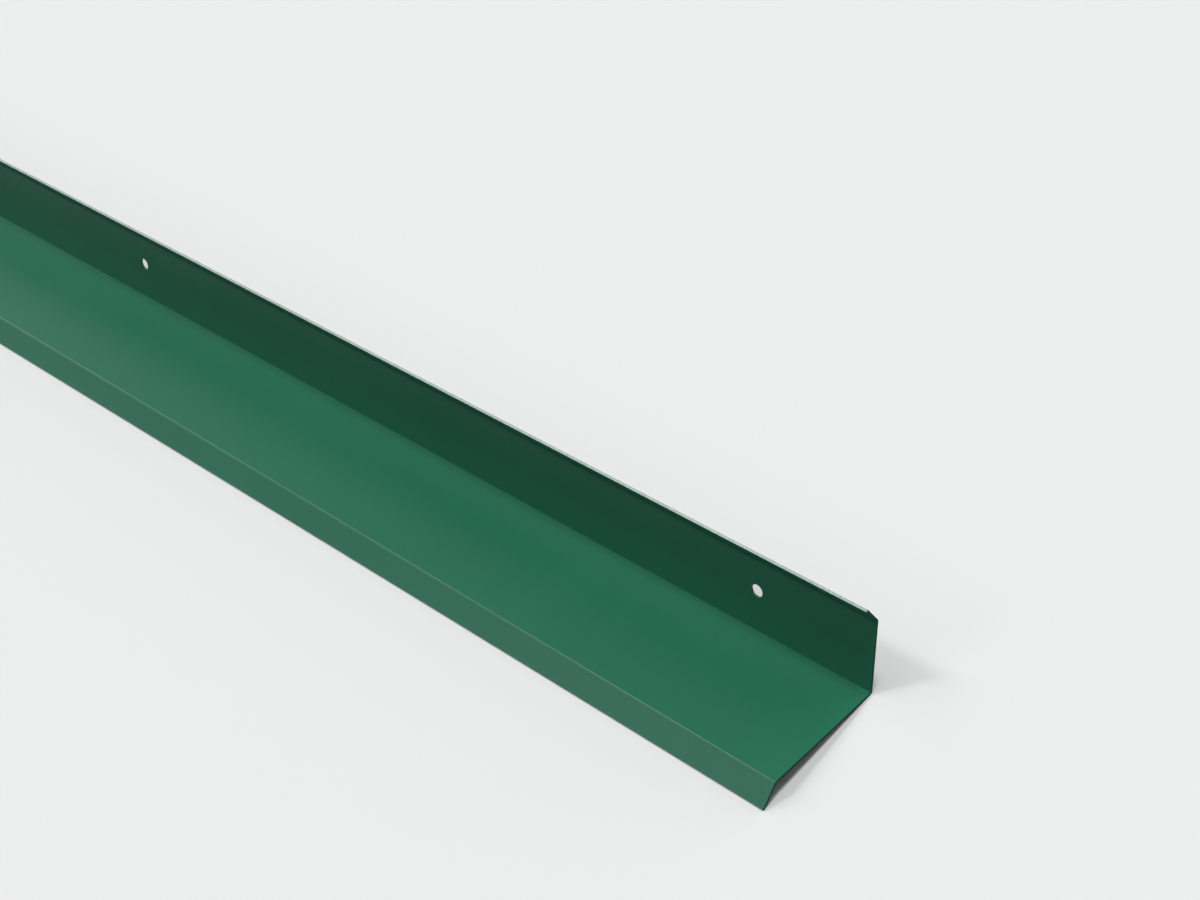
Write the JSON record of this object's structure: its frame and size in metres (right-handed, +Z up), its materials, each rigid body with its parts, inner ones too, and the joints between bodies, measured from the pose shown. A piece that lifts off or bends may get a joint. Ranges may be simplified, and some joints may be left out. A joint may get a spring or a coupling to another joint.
{
  "type": "sheet metal flashing",
  "caption": "Folded wall flashing of green coated sheet: an upstand pierced for screws, with a lip leaning out along its top, above a sloping sill that ends in a turned-down drip edge.",
  "frame": {"origin": "on the floor, under the middle of the strip's box as it lies on the foot of its upstand and the edge of its drip", "axes": "+X along the strip, +Y to the wall side, -Y to the weather side that the drip points to, +Z up from the floor"},
  "size_m": [1.5, 0.0656, 0.0373],
  "materials": {
    "coated_sheet": "satin"
  },
  "bodies": {
    "root": {"flashing_strip": "coated_sheet"}
  },
  "joints": []
}
